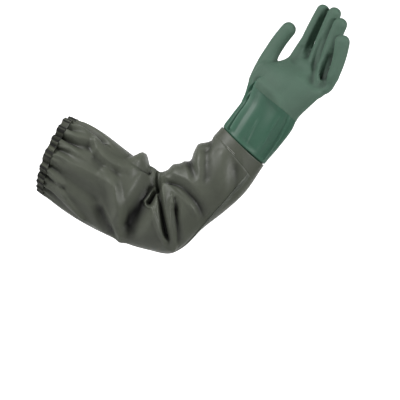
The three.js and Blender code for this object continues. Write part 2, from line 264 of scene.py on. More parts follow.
def mark_crevices(obj, steps, depth):
    """A value from -1 on crests to 1 in hollows: how far each point lies under a smoothed skin."""
    mesh = obj.data
    co, normal = np.empty(len(mesh.vertices) * 3), np.empty(len(mesh.vertices) * 3)
    mesh.vertices.foreach_get("co", co)
    mesh.vertices.foreach_get("normal", normal)
    co, normal = co.reshape(-1, 3), normal.reshape(-1, 3)
    edges = np.empty(len(mesh.edges) * 2, dtype=int)
    mesh.edges.foreach_get("vertices", edges)
    a, b = edges.reshape(-1, 2).T
    count = np.bincount(a, minlength=len(co)) + np.bincount(b, minlength=len(co))
    smoothed = co.copy()
    for _ in range(steps):
        total = np.stack([
            np.bincount(a, smoothed[b, k], len(co)) + np.bincount(b, smoothed[a, k], len(co))
            for k in range(3)
        ], 1)
        smoothed = (smoothed + total / count[:, None]) / 2
    # this value drives the painted shade in hollows and the painted highlight on crests
    value = ((smoothed - co) * normal).sum(1) / (depth * MM)
    layer = mesh.attributes.new("crevice", "FLOAT", "POINT")
    layer.data.foreach_set("value", np.clip(value, -1, 1).astype(np.float32))


def on_frame(obj, material, slot, *nodes):
    """Gives a finished piece its finish and its place in the frame."""
    obj.data.materials.clear()
    obj.data.materials.append(material)
    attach(obj, "root")
    if nodes:
        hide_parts(*nodes)
    triangles = sum(len(p.vertices) - 2 for p in obj.data.polygons)
    print(f"{obj.name}: {triangles} triangles, {slot}")


# %% [markdown]
# ## Shader effects that several finishes share
# A finish could be one long chain of nodes each time. The three effects that come back in every
# material are kept in node groups with named sockets instead: slow patches of lighter and darker
# colour, a fine grain, and the shade of the crevices. Two short helpers make nodes and groups.

# %% Node helpers
def add_node(tree, kind, values=None, **settings):
    made = tree.nodes.new(kind)
    for key, value in settings.items():
        setattr(made, key, value)
    for key, value in (values or {}).items():
        made.inputs[key].default_value = value
    return made


def new_group(name, inputs, outputs):
    tree = bpy.data.node_groups.new(name, "ShaderNodeTree")
    for label, kind, value in inputs:
        socket = tree.interface.new_socket(name=label, in_out="INPUT", socket_type=kind)
        if value is not None:
            socket.default_value = value
    for label, kind in outputs:
        tree.interface.new_socket(name=label, in_out="OUTPUT", socket_type=kind)
    return tree, tree.nodes.new("NodeGroupInput"), tree.nodes.new("NodeGroupOutput")


# %% [markdown]
# No dipped or coated skin has one even colour. Painted patches would need an image, so slow noise on
# the Object coordinates, which stay still on the piece, lightens and darkens the colour a little.

# %% Slow patches
def patches_group():
    """Slow patches: Colour made lighter and darker by Amount, in patches of 1 / Scale metres."""
    tree, into, out = new_group(
        "Slow patches",
        [("Vector", "NodeSocketVector", None), ("Colour", "NodeSocketColor", None),
         ("Scale", "NodeSocketFloat", 40.0), ("Amount", "NodeSocketFloat", 0.1)],
        [("Colour", "NodeSocketColor")],
    )
    noise = add_node(tree, "ShaderNodeTexNoise", {"Detail": 4.0, "Roughness": 0.55})
    span = add_node(tree, "ShaderNodeMapRange", {"From Min": 0.3, "From Max": 0.7})
    low = add_node(tree, "ShaderNodeMath", {0: 1.0}, operation="SUBTRACT")
    high = add_node(tree, "ShaderNodeMath", {0: 1.0}, operation="ADD")
    tint = add_node(tree, "ShaderNodeVectorMath", operation="SCALE")
    link = tree.links.new
    link(into.outputs["Vector"], noise.inputs["Vector"])
    link(into.outputs["Scale"], noise.inputs["Scale"])
    link(noise.outputs["Fac"], span.inputs["Value"])
    link(into.outputs["Amount"], low.inputs[1])
    link(into.outputs["Amount"], high.inputs[1])
    link(low.outputs[0], span.inputs["To Min"])
    link(high.outputs[0], span.inputs["To Max"])
    link(into.outputs["Colour"], tint.inputs[0])
    link(span.outputs["Result"], tint.inputs["Scale"])
    link(tint.outputs[0], out.inputs["Colour"])
    return tree


PATCHES = patches_group()
print("node group:", PATCHES.name)

# %% [markdown]
# The sandy coat and the weave under the plastic are far finer than a mesh point, so they are a
# height for a bump. Two sizes of noise are mixed, because one alone looks like printed dots.

# %% Fine grain
def grain_group():
    """Fine grain: a height from two sizes of noise, for a bump."""
    tree, into, out = new_group(
        "Fine grain",
        [("Vector", "NodeSocketVector", None), ("Fine", "NodeSocketFloat", 2500.0),
         ("Coarse", "NodeSocketFloat", 300.0), ("Coarse share", "NodeSocketFloat", 0.4)],
        [("Height", "NodeSocketFloat")],
    )
    fine = add_node(tree, "ShaderNodeTexNoise", {"Detail": 2.0})
    coarse = add_node(tree, "ShaderNodeTexNoise", {"Detail": 3.0})
    mix = add_node(tree, "ShaderNodeMix", data_type="FLOAT")
    link = tree.links.new
    for texture, scale in ((fine, "Fine"), (coarse, "Coarse")):
        link(into.outputs["Vector"], texture.inputs["Vector"])
        link(into.outputs[scale], texture.inputs["Scale"])
    link(into.outputs["Coarse share"], mix.inputs["Factor"])
    link(fine.outputs["Fac"], mix.inputs["A"])
    link(coarse.outputs["Fac"], mix.inputs["B"])
    link(mix.outputs["Result"], out.inputs["Height"])
    return tree


GRAIN = grain_group()
print("node group:", GRAIN.name)

# %% [markdown]
# Hollows are painted darker, as painted shade where less light gets in, and crests are painted pale,
# as painted highlight and wear. The crevice value that the meshes carry decides how much of either
# a point gets.

# %% Crevice shade
def crevice_group():
    """Colour darkened in hollows by Dark, as painted shade, and lightened on crests by the wear and
    highlight amount, as painted highlight and wear; Crevice is -1 to 1.
    """
    tree, into, out = new_group(
        "Crevice shade",
        [("Colour", "NodeSocketColor", None), ("Crevice", "NodeSocketFloat", 0.0),
         ("Dark", "NodeSocketFloat", 0.5), ("Wear and highlight", "NodeSocketFloat", 0.2)],
        [("Colour", "NodeSocketColor")],
    )
    hollow = add_node(tree, "ShaderNodeMapRange", {"From Min": 0.0, "From Max": 1.0})
    crest = add_node(tree, "ShaderNodeMapRange", {"From Min": 0.0, "From Max": -1.0})
    dark = add_node(tree, "ShaderNodeMath", operation="MULTIPLY")
    wear_and_highlight = add_node(tree, "ShaderNodeMath", operation="MULTIPLY")
    less = add_node(tree, "ShaderNodeMath", {0: 1.0}, operation="SUBTRACT")
    both = add_node(tree, "ShaderNodeMath", operation="ADD")
    tint = add_node(tree, "ShaderNodeVectorMath", operation="SCALE")
    link = tree.links.new
    # hollows get painted shade, and crests get a painted highlight together with some wear
    link(into.outputs["Crevice"], hollow.inputs["Value"])
    link(into.outputs["Crevice"], crest.inputs["Value"])
    link(hollow.outputs["Result"], dark.inputs[0])
    link(into.outputs["Dark"], dark.inputs[1])
    link(crest.outputs["Result"], wear_and_highlight.inputs[0])
    link(into.outputs["Wear and highlight"], wear_and_highlight.inputs[1])
    link(dark.outputs[0], less.inputs[1])
    link(less.outputs[0], both.inputs[0])
    link(wear_and_highlight.outputs[0], both.inputs[1])
    link(into.outputs["Colour"], tint.inputs[0])
    link(both.outputs[0], tint.inputs["Scale"])
    link(tint.outputs[0], out.inputs["Colour"])
    return tree


CREVICES = crevice_group()
print("node group:", CREVICES.name)

# %% [markdown]
# ## Finishes
# Nitrile over a knitted liner looks sandy and dull where the hand grips, and smooth with a soft
# shine on the gauntlet. The sleeve is fabric with a thin plastic coat and a broad shine; the pale
# ridges of its folds are painted highlight and wear. All share one function that sets colour, shine,
# grain, painted shade and painted highlight.

# %% The finishes
def srgb(*values):
    """Display values from 0 to 255 as the linear colour that a shader takes."""
    return [
        (v / 255 / 12.92 if v / 255 <= 0.04045 else ((v / 255 + 0.055) / 1.055) ** 2.4)
        for v in values
    ] + [1.0]


def finish(name, colour, roughness, patch, patch_scale, fine, coarse, share, bump, dark, wear_and_highlight):
    material = bpy.data.materials.new(name)
    material.use_nodes = True
    tree = material.node_tree
    principled = tree.nodes["Principled BSDF"]
    principled.inputs["Roughness"].default_value = roughness
    coords = add_node(tree, "ShaderNodeTexCoord")
    patches = add_node(tree, "ShaderNodeGroup", node_tree=PATCHES)
    patches.inputs["Colour"].default_value = srgb(*colour)
    patches.inputs["Scale"].default_value = patch_scale
    patches.inputs["Amount"].default_value = patch
    grain = add_node(tree, "ShaderNodeGroup", node_tree=GRAIN)
    grain.inputs["Fine"].default_value = fine
    grain.inputs["Coarse"].default_value = coarse
    grain.inputs["Coarse share"].default_value = share
    relief = add_node(tree, "ShaderNodeBump", {"Distance": bump * MM, "Strength": 1.0})
    hollows = add_node(tree, "ShaderNodeAttribute", attribute_name="crevice")
    shade = add_node(tree, "ShaderNodeGroup", node_tree=CREVICES)
    shade.inputs["Dark"].default_value = dark
    shade.inputs["Wear and highlight"].default_value = wear_and_highlight
    link = tree.links.new
    link(coords.outputs["Object"], patches.inputs["Vector"])
    link(coords.outputs["Object"], grain.inputs["Vector"])
    # the crevice value paints shade into the hollows and a pale highlight with wear onto the crests
    link(patches.outputs["Colour"], shade.inputs["Colour"])
    link(hollows.outputs["Fac"], shade.inputs["Crevice"])
    link(shade.outputs["Colour"], principled.inputs["Base Color"])
    link(grain.outputs["Height"], relief.inputs["Height"])
    link(relief.outputs["Normal"], principled.inputs["Normal"])
    return material


# name, colour, roughness, patch, patch scale, fine, coarse, coarse share, bump, dark (painted shade),
# wear and highlight
# the last two numbers are the painted shade in hollows and the painted highlight with wear on crests
SANDY = finish("Sandy green coat", (84, 111, 95), 0.7, 0.05, 35, 2200, 500, 0.35, 0.25, 0.85, 0.1)
GREEN = finish("Smooth green coat", (61, 99, 81), 0.5, 0.04, 20, 900, 60, 0.5, 0.12, 0.6, 0.3)
FABRIC = finish("Coated fabric", (85, 89, 78), 0.5, 0.05, 25, 1500, 130, 0.6, 0.35, 0.95, 0.25)
HEM = finish("Gathered fabric", (76, 79, 67), 0.55, 0.08, 60, 1500, 200, 0.6, 0.4, 0.95, 0.2)
# the seam is the sleeve's coated fabric painted lighter, with little painted shade and a strong
# painted highlight on its crests
SEAM_PAINTED_LIT = finish("Seam fabric painted lit", (92, 96, 88), 0.5, 0.05, 25, 1500, 130, 0.6, 0.35, 0.3, 0.75)
THREAD = finish("Pale thread", (158, 160, 152), 0.7, 0.05, 200, 3000, 900, 0.5, 0.05, 0, 0)
print("finishes:", [kind.name for kind in (SANDY, GREEN, FABRIC, HEM, SEAM_PAINTED_LIT, THREAD)])

# %% [markdown]
# ## The sleeve
# On the real glove the sleeve is one panel of coated fabric, closed by a long seam and drawn
# together at the elbow. Flat, the panel is as wide as the full girth that the elastic gathers and
# runs from the hem to the joint; hem, band and seam are sewn to it. It could be a plain tube with a
# bump texture, but its folds also change its outline and hide each other, so they are real shape,
# with about 2 mm between points.

# %% Folds of the sleeve
SLEEVE_FOLDS = [
    # the crease across the elbow, its lip, and the ridge and hollow on its far side
    [212, 12, 217, 78, 227, 148, 8, -18, -13, 0.3, 0.0],
    [198, 86, 210, 114, 223, 143, 6, 4, 4, 0.7, 0.3],
    [238, 70, 232, 110, 227, 172, 9, 10, 8, 0.8, 0.5],
    [246, 82, 240, 118, 238, 156, 11, -13, -7, 0.3, -0.4],
    # the wide valley that runs down from it, and the ridge and the hollow past that
    [213, 17, 181, 86, 153, 150, 27, -28, -18, 0.1, 0.0],
    [118, 72, 145, 118, 151, 178, 17, 7, 8, 0.6, 0.0],
    [104, 118, 128, 146, 138, 168, 17, -9, -6, 0.3, 0.2],
    # the small pocket fold beside the crease, and its rolled rim
    [209, 46, 201, 72, 194, 85, 7, -12, -12, 0.1, 0.0],
    [205, 50, 192, 72, 187, 82, 4, 5, 6, 0.5, 0.0],
    [187, 79, 191, 88, 201, 87, 4, 6, 4, 0.5, 0.0],
    # curved creases past the elbow
    [220, 34, 250, 54, 277, 102, 9, -10, -5, 0.5, -0.3],
    [240, 36, 277, 78, 288, 144, 13, -10, -7, 0.5, -0.3],
    [234, 46, 262, 74, 277, 130, 9, 3, 3, 0.5, 0.0],
    # the roll of cloth inside the elbow, and the dark fold under it
    [174, -60, 171, -2, 140, 56, 20, 28, 4, -0.5, 0.15],
    [192, 8, 180, 28, 144, 40, 10, -11, -6, 0.3, 0.0],
    # bulges and notches of the forearm
    [262, -40, 262, 0, 262, 40, 20, 6, 3, 0.2, 0.0],
    [302, -40, 300, 20, 297, 74, 14, -7, -4, 0.4, 0.0],
    [333, -44, 332, 2, 322, 56, 26, 13, 4, 0.2, 0.0],
    [366, -35, 364, 4, 350, 40, 10, -3, -2, 0.4, 0.0],
    [342, 26, 328, 55, 308, 90, 17, -6, -4, 0.3, 0.0],
    [372, 58, 346, 92, 334, 134, 24, 4, 3, 0.3, 0.0],
    [372, 94, 352, 128, 336, 146, 18, -4, -3, 0.3, 0.0],
    # the upper arm: ridges and valleys that run out of the gathers
    [2, 46, 28, 35, 64, 46, 14, 8, 4, 0.5, 0.2],
    [2, 60, 34, 63, 80, 52, 14, -11, -7, 0.4, 0.2],
    [10, 14, 52, 20, 98, 32, 12, -7, -12, 0.5, 0.3],
    [74, 34, 98, 54, 150, 44, 16, 11, 4, 0.7, -0.3],
    [98, 70, 120, 84, 138, 108, 20, 6, 3, 0.4, 0.0],
    [78, 58, 102, 66, 132, 58, 18, -6, -4, 0.2, 0.0],
    [2, 76, 20, 78, 48, 74, 9, -7, -4, 0.5, 0.0],
    # the long ridge down the middle, and the flat faces beside it
    [4, 95, 50, 90, 128, 88, 16, 7, 5, 0.8, 0.3],
    [4, 88, 22, 90, 46, 93, 8, -7, -4, 0.4, 0.0],
    [4, 104, 50, 108, 112, 112, 20, -7, -5, 0.3, 0.0],
    [4, 113, 28, 113, 52, 121, 9, 6, 4, 0.6, 0.0],
    [6, 123, 28, 126, 56, 122, 9, -8, -5, 0.4, 0.0],
    [30, 124, 60, 142, 92, 160, 14, 7, 6, 0.8, 0.5],
    [20, 150, 62, 160, 108, 174, 18, -6, -4, 0.2, 0.0],
    # the back, which the photo doesn't show
    [20, 200, 60, 225, 110, 250, 18, -6, -3, 0.4, 0.0],
    [30, 290, 70, 280, 120, 285, 18, -6, -3, 0.4, 0.0],
    [60, 255, 96, 245, 150, 262, 16, 5, 3, 0.6, 0.2],
    [217, 352, 217, 285, 218, 215, 15, -14, -6, 0.6, 0.0],
    [198, 335, 172, 285, 150, 205, 24, -12, -6, 0.3, 0.0],
    [206, 308, 186, 268, 164, 212, 14, 6, 3, 0.6, 0.0],
    [234, 328, 258, 285, 278, 222, 16, -9, -4, 0.4, 0.2],
    [250, 298, 272, 262, 286, 224, 10, -5, -3, 0.4, 0.2],
    [334, 338, 322, 300, 308, 262, 18, -6, -3, 0.3, 0.0],
    [374, 258, 350, 232, 334, 197, 18, 4, 2, 0.4, 0.0],
]
print("folds of the sleeve:", len(SLEEVE_FOLDS))

# %% [markdown]
# The elastic draws the cloth into pleats of uneven depth and reach. They could be listed one by
# one as well, but nothing in them has to be exact, so a seeded random generator places them.

# %% Gathers at the hem
HEM_WIDTH = 15
HEM_LIP = 17
PLEAT_SPREAD = 34
PLEAT_FADE = 1.3
pleat_random = np.random.default_rng(7)


def draw_pleats(count, deep, wide, reach):
    """One row for each pleat: where it is, how deep and wide, how far it reaches, its drift."""
    at = (np.arange(count) + pleat_random.uniform(-0.35, 0.35, count)) * 360 / count
    return np.stack([at, *(pleat_random.uniform(*span, count) for span in (deep, wide, reach)),
                     pleat_random.uniform(-0.15, 0.15, count)], 1)


pleats = np.concatenate([
    draw_pleats(24, (4.0, 8.0), (2.4, 4.2), (36, 95)),
    draw_pleats(34, (1.5, 3.5), (1.5, 2.3), (10, 34)),
])


def gathers(along, around):
    """The pleats that the elastic draws into the cloth."""
    total = np.zeros(along.shape)
    past = np.maximum(along - HEM_WIDTH, 0)
    for at, deep, wide, reach, drift in pleats:
        away = (around - at - drift * past + 180) % 360 - 180
        fade = (1 - smooth(0, reach, past)) ** PLEAT_FADE
        total -= deep * fade * np.exp(-((away / (wide * (1 + past / PLEAT_SPREAD))) ** 2))
    return total


def sleeve_height(along, around):
    """Folds and pleats together. Under the hem the folds stay as they are at its lip."""
    return fold_heights(np.maximum(along, HEM_LIP), around, SLEEVE_FOLDS) + gathers(along, around)


print("pleats:", len(pleats))

# %% [markdown]
# Now the cloth itself. Even rows of faces would waste points on the plain stretches, so rows lie
# closer at the hem and the elbow, and columns closer on the near side. At both ends the cloth steps
# in by its neighbour's thickness, as it does under the casing and under the tape.

# %% Shape of the sleeve
SLEEVE_WALL = 1.6
JOINT_DIP = 4
JOINT_DIP_POWER = 1.5


def joint_edge(around):
    """Where the sleeve ends: on the near side the joint dips a little towards the elbow."""
    return JOINT_EDGE - JOINT_DIP * np.maximum(np.sin(np.radians(around)), 0) ** JOINT_DIP_POWER


ROW_PLACES = [3, 40, 150, 190, 245, 290, 378.1, 379.5, JOINT_EDGE]
ROW_SHARES = [0, 0.14, 0.345, 0.45, 0.69, 0.815, 0.96, 0.965, 1]
NEAR_SHARE = 0.45
UPPER_ROWS = 379.5
UNDER_HEM = 1.55
HEM_STEP = (16.2, 17.6)
UNDER_BAND = 1.15
BAND_STEP = (378.3, 379.3)


def sleeve_inset(along):
    """The sleeve goes in under the hem's lip and under the band."""
    return UNDER_HEM * (1 - smooth(*HEM_STEP, along)) + UNDER_BAND * smooth(*BAND_STEP, along)


def closer_near(u):
    """Angles round the arm, closer together on the near side, where most of the folds are."""
    w = u - 0.25
    return 90 + 360 * (w - NEAR_SHARE * np.sin(2 * math.pi * w) / (2 * math.pi))


def sleeve_place(u, v):
    """Rows lie closer at the hem and at the elbow."""
    around = closer_near(u)
    along = np.interp(v, ROW_SHARES, ROW_PLACES)
    past = np.maximum(along - UPPER_ROWS, 0) / (JOINT_EDGE - UPPER_ROWS)
    along += past * (joint_edge(around) - JOINT_EDGE)
    return arm_points(along, around, sleeve_height(along, around) - sleeve_inset(along))


sleeve = grid_sheet("Sleeve", 240, 200, sleeve_place)
mark_crevices(sleeve, 160, 5)
thicken(sleeve, SLEEVE_WALL)
on_frame(sleeve, FABRIC, "coated_fabric", "sleeve")

# %% [markdown]
# ## The gathered hem
# The hem is a casing: the fabric turned back over an elastic ribbon, which bunches it into short
# puffs. A torus would be too even, so the same grid follows the sleeve's own pleats, swells
# between them and is pinched at each.

# %% Shape of the hem
HEM_PUFF = 0.6
HEM_START = 1.8
HEM_PULL = 0.35


def hem_place(u, v):
    """Round the casing's outside, over its lip and back inside the sleeve's mouth."""
    around, turn = u * 360, v * 2 * math.pi
    c, s = np.cos(turn), np.sin(turn)
    along = HEM_WIDTH / 2 * (1 + np.sign(c) * np.abs(c) ** 0.6)
    outer = np.abs(s) ** 0.4
    drawn = gathers(np.zeros(u.shape), around)
    outside = HEM_PUFF * outer - 0.2 + drawn * (0.9 + 0.2 * outer)
    inside = -2.4 * outer - 0.2
    pull = -drawn * HEM_PULL * (1 - along / HEM_WIDTH)
    fold = fold_heights(np.full(along.shape, float(HEM_LIP)), around, SLEEVE_FOLDS)
    return arm_points(along + HEM_START + pull, around, fold + np.where(s > 0, outside, inside))


hem = grid_sheet("Elastic_hem", 408, 26, hem_place)
mark_crevices(hem, 40, 1.2)
on_frame(hem, HEM, "hem_fabric", "elastic_hem")

# %% [markdown]
# ## The gauntlet
# Between sleeve and hand the dipped layer is smooth. Worn flat and then filled, it keeps a flat
# front with a sharp ridge at each side and a dark recess behind the ridge, so these are folds too,
# with short wrinkles that run into the edge of the sandy coat.

# %% Shape of the gauntlet
GAUNTLET_WALL = 1.5
SLEEVE_AND_BAND = 3.65
COAT_STEP = 0.5
UNDER_COAT = 2.15
GAUNTLET_FOLDS = [
    [545, 8, 475, 2, 405, 0, 20, -5, -4, 0.0, 0.0],
    [536, 74, 460, 51, 390, 52, 11, 5, 5, 0.8, -0.6],
    [530, 58, 455, 38, 390, 41, 10, -11, -9, 0.3, 0.4],
    [530, 34, 455, 16, 390, 18, 10, 1, 2, 0.4, 0.0],
    [512, 58, 494, 47, 472, 32, 3.2, 4, 3, 0.8, 0.0],
    [508, 50, 488, 36, 474, 24, 3.2, 4, 3, 0.8, 0.0],
    [500, 30, 480, 22, 462, 14, 3, 2, 1, 0.8, 0.0],
    [492, 142, 451, 143, 390, 144, 6, -0.8, -0.8, 0.4, 0.0],
    [492, 150, 451, 151, 390, 152, 6, 2.4, 2.6, 0.9, -0.3],
    [482, 124, 440, 122, 394, 128, 4, 1.0, 0.8, 0.7, 0.0],
    [512, 56, 504, 92, 496, 130, 15, 3, 2, 0.3, 0.0],
    [510, 97, 455, 94, 390, 96, 32, -4, -3.5, 0, 0.0],
    [456, 88, 432, 88, 408, 92, 5, 0.9, 0.6, 0.5, 0.0],
    [484, 280, 450, 270, 406, 275, 18, -3, -2, 0.2, 0.0],
    [504, 230, 460, 222, 406, 226, 10, 2, 1.5, 0.6, 0.0],
]
GAUNTLET_START = 381
GAUNTLET_END = 518
FOLDS_GROW = 9


def gauntlet_height(along, around):
    """The folds grow from nothing at the joint, where the sleeve holds the skin round."""
    grown = smooth(JOINT_EDGE, JOINT_EDGE + FOLDS_GROW, along)
    return fold_heights(along, around, GAUNTLET_FOLDS) * grown


def gauntlet_place(u, v):
    """Inside the sleeve at one end, nearly flush between, and under the sandy coat at the other."""
    along = GAUNTLET_START + v * (GAUNTLET_END - GAUNTLET_START)
    around = closer_near(u)
    out_of_sleeve = smooth(0.2, 3, along - joint_edge(around))
    inset = SLEEVE_AND_BAND + (COAT_STEP - SLEEVE_AND_BAND) * out_of_sleeve
    inset += (UNDER_COAT - COAT_STEP) * smooth(COAT_EDGE - 0.5, COAT_EDGE + 3, along)
    return arm_points(along, around, gauntlet_height(along, around) - inset)


gauntlet = grid_sheet("Gauntlet", 240, 140, gauntlet_place)
mark_crevices(gauntlet, 120, 4)
thicken(gauntlet, GAUNTLET_WALL)
on_frame(gauntlet, GREEN, "smooth_coat", "gauntlet")

# %% [markdown]
# ## The joint band
# A tape of the sleeve's fabric covers the joint of sleeve and gauntlet. It lies nearly flush, so
# only its upper edge shows, as a thin dark line.

# %% Shape of the band
BAND_START = 378.0
BAND_WALL = 1.0
BAND_INSET = 0.05


def band_place(u, v):
    """On the sleeve's folds, from its start to the sleeve's dipped end."""
    around = closer_near(u)
    along = BAND_START + v * (joint_edge(around) - BAND_START)
    return arm_points(along, around, sleeve_height(along, around) - BAND_INSET)


band = grid_sheet("Joint_band", 200, 14, band_place)
thicken(band, BAND_WALL)
mark_crevices(band, 60, 5)
on_frame(band, FABRIC, "band_fabric", "joint_band")

# %% [markdown]
# ## The side seam
# The sleeve's panel is closed by a lapped seam that shows below the forearm as a raised strip; its
# pale edge and lighter colour are painted highlight. It is a narrow grid that follows the same folds,
# a little above the cloth.

# %% Shape of the side seam
SEAM_ROUTE = np.array([
    [20, 193.33], [100, 193.33], [200, 190.5], [238, 183], [260, 172], [280, 160.5], [300, 150],
    [324, 141.5], [350, 138], [377, 136],
])
SEAM_WIDTH = 12
SEAM_WALL = 1.0
SEAM_SHARES = [0, 0.08, 0.16, 0.28, 0.9, 1]
SEAM_LIFTS = [0.1, 1.7, 1.9, 0.9, 0.8, 0.2]
SEAM_START = 22
SEAM_LENGTH = 355
SEAM_TAPER = 0.03


def seam_place(u, v):
    """A strip on the sleeve with a lip along one edge, which sinks in at both ends."""
    along = SEAM_START + v * SEAM_LENGTH
    row = hermite(along, SEAM_ROUTE)[:, 0]
    around = row + (u - 0.5) * SEAM_WIDTH / DEGREE
    taper = smooth(0, SEAM_TAPER, v) * smooth(0, SEAM_TAPER, 1 - v)
    lift = np.interp(u, SEAM_SHARES, SEAM_LIFTS) * taper
    return arm_points(along, around, sleeve_height(along, around) + lift)


seam = grid_sheet("Side_seam", 26, 260, seam_place)
thicken(seam, SEAM_WALL)
mark_crevices(seam, 14, 0.75)
# the seam wears the sleeve's fabric painted lighter, with its edge painted pale as a highlight
on_frame(seam, SEAM_PAINTED_LIT, "coated_fabric", "side_seam")

# %% [markdown]
# ## The bar tack
# Below the joint two short rows of pale stitches hold the layers together. A bump would hardly show
# at this size, so each stitch is a short straight piece of thread that lies on the band.

# %% Two rows of stitches
TACK_ROWS = [[380.5, 66, 381.5, 86], [378.2, 67, 379.2, 87]]
STITCHES = 6
STITCH_LIFT = 0.4
STITCH_RADIUS = 0.5
STITCH_LENGTH = 3.0
stitches = []
for start_along, start_around, end_along, end_around in TACK_ROWS:
    for k in range(STITCHES):
        share = (k + 0.5) / STITCHES
        along = start_along + (end_along - start_along) * share
        around = start_around + (end_around - start_around) * share
        height = sleeve_height(np.array([along]), np.array([around]))
        at = arm_points(np.array([along]), np.array([around]), height + STITCH_LIFT)[0]
        past = arm_points(np.array([along]), np.array([around + 1.0]), height + STITCH_LIFT)[0]
        way = Vector(past - at).normalized()
        bpy.ops.mesh.primitive_cylinder_add(
            vertices=8, radius=STITCH_RADIUS * MM, depth=STITCH_LENGTH * MM)
        stitch = bpy.context.active_object
        stitch.matrix_world = (Matrix.Translation(at)
                               @ way.to_track_quat("Z", "Y").to_matrix().to_4x4())
        stitches.append(stitch)
bpy.ops.object.select_all(action="DESELECT")
for stitch in stitches:
    stitch.select_set(True)
bpy.context.view_layer.objects.active = stitches[0]
bpy.ops.object.join()
bpy.ops.object.transform_apply(location=True, rotation=True, scale=True)
tack = bpy.context.active_object
tack.name = tack.data.name = "Bar_tack"
bpy.ops.object.shade_smooth()
on_frame(tack, THREAD, "band_fabric")

# %% [markdown]
# ## The hand
# The hand is one dipped skin with round fingers that press against each other. Box modelling it
# face by face would fight with those creases, so it is made as a former is: a palm and five
# fingers as solid lofts, fused into one skin by a voxel remesh, smoothed where the webs are,
# cut open at the wrist and thickened inward.

# %% Paths of the fingers
# lengths in millimetres and angles in degrees; a tail is the buried stretch inside the palm
FINGER_COLUMNS = ["place", "forward", "root", "reach", "wide", "mid wide", "end wide", "thick",
                  "end thick", "lean", "end lean", "curl", "end curl", "tail lean", "tail curl",
                  "tail"]
FINGERS = {
    "thumb": [-71.2, 22, -54, 122, 20, 14.4, 13.4, 14, 12, -15.9, 23.5, -11, 9, -10, -20, 12],
    "index": [-26.2, 4, -16, 138, 26, 12.0, 11.8, 14, 11.6, -11.9, 9.1, -10.6, 13.5, -12, -20, 20],
    "middle": [5.7, 5, -18, 142, 12.4, 12.6, 12.0, 14, 11.6, -13.1, 4.1, -6.8, 14.1, -10, -20, 24],
    "ring": [32.6, 8, -20, 131, 11.5, 12.4, 12.4, 13, 11.8, -18.3, 5.0, -3.6, 16.1, 65, -20, 22],
    "little": [45.2, 10, -6, 91, 9, 11.5, 14.1, 13, 12, 4, -19.5, 6, 15, 78, -25, 30],
}
KNUCKLES = np.array([338.5, 11.0, 330.0])
HAND_TURN = math.radians(25)
TO_LITTLE = np.array([math.cos(HAND_TURN), -math.sin(HAND_TURN), 0.0])
TO_PALM = np.array([-math.sin(HAND_TURN), -math.cos(HAND_TURN), 0.0])
PATH_STEPS = 80
TAIL_SHRINK = 0.78


def finger_path(row):
    """One finger from the end of its tail in the palm to its tip, as its centres, its direction,
    its two half widths and the way along it. The way is below zero in the tail."""
    place, forward, root, reach, wide, mid_wide, end_wide, thick, end_thick = row[:9]
    lean, end_lean, curl, end_curl, tail_lean, tail_curl = np.radians(row[9:15])
    tail = row[15]
    run = np.linspace(-tail, reach, PATH_STEPS)
    share, back = np.clip(run / reach, 0, 1), np.clip(-run / tail, 0, 1)
    start = KNUCKLES + TO_LITTLE * place + TO_PALM * forward + np.array([0, 0, root])
    lean_at = lean + (end_lean - lean) * share + (tail_lean - lean) * back
    curl_at = curl + (end_curl - curl) * share + (tail_curl - curl) * back
    way = (
        TO_LITTLE * np.sin(lean_at)[:, None]
        + TO_PALM * (np.sin(curl_at) * np.cos(lean_at))[:, None]
        + np.array([0, 0, 1.0]) * (np.cos(curl_at) * np.cos(lean_at))[:, None]
    )
    step = way * (run[1] - run[0])
    centre = np.concatenate([[[0, 0, 0]], np.cumsum((step[1:] + step[:-1]) / 2, 0)])
    centre += start - centre[np.argmin(np.abs(run))]
    shrink = 1 - TAIL_SHRINK * back**2
    half = np.interp(share, [0, 0.5, 1], [wide, mid_wide, end_wide]) * shrink
    deep = (thick + (end_thick - thick) * share) * shrink
    return centre, way, half, deep, run


for name, row in FINGERS.items():
    print(name, dict(zip(FINGER_COLUMNS, row)))

# %% [markdown]
# The path of a finger becomes a solid by a loft: one oval ring of points for each step, with faces
# between them. A finger could be a scaled capsule, but it has to bend, lean and change its width,
# and its tail has to sink into the palm so that no round end shows there after the fusing.

# %% Lofts of the fingers and the palm
FINGER_SIDES = 40
PALM_SIDES = 96
TIP_SIZE = 0.0004
PALM_ROWS = np.concatenate([np.linspace(494, 600, 46), np.linspace(602, 607, 4)])
FOLDS_FADE = (506, 530)
VOXEL = 1.15


def loft(name, rings):
    """A closed solid through rings of points, each an array of the same length."""
    count, last = len(rings[0]), (len(rings) - 1) * len(rings[0])
    points = np.concatenate([*rings, rings[0].mean(0)[None], rings[-1].mean(0)[None]])
    faces = []
    for k in range(0, last, count):
        for i in range(count):
            j = (i + 1) % count
            faces.append((k + i, k + j, k + count + j, k + count + i))
    low, high = len(points) - 2, len(points) - 1
    faces += [(low, (i + 1) % count, i) for i in range(count)]
    faces += [(high, last + i, last + (i + 1) % count) for i in range(count)]
    mesh = bpy.data.meshes.new(name)
    mesh.from_pydata(points.tolist(), [], faces)
    obj = bpy.data.objects.new(name, mesh)
    bpy.context.scene.collection.objects.link(obj)
    select_only(obj)
    bpy.ops.object.mode_set(mode="EDIT")
    bpy.ops.mesh.select_all(action="SELECT")
    bpy.ops.mesh.normals_make_consistent(inside=False)
    bpy.ops.object.mode_set(mode="OBJECT")
    return obj


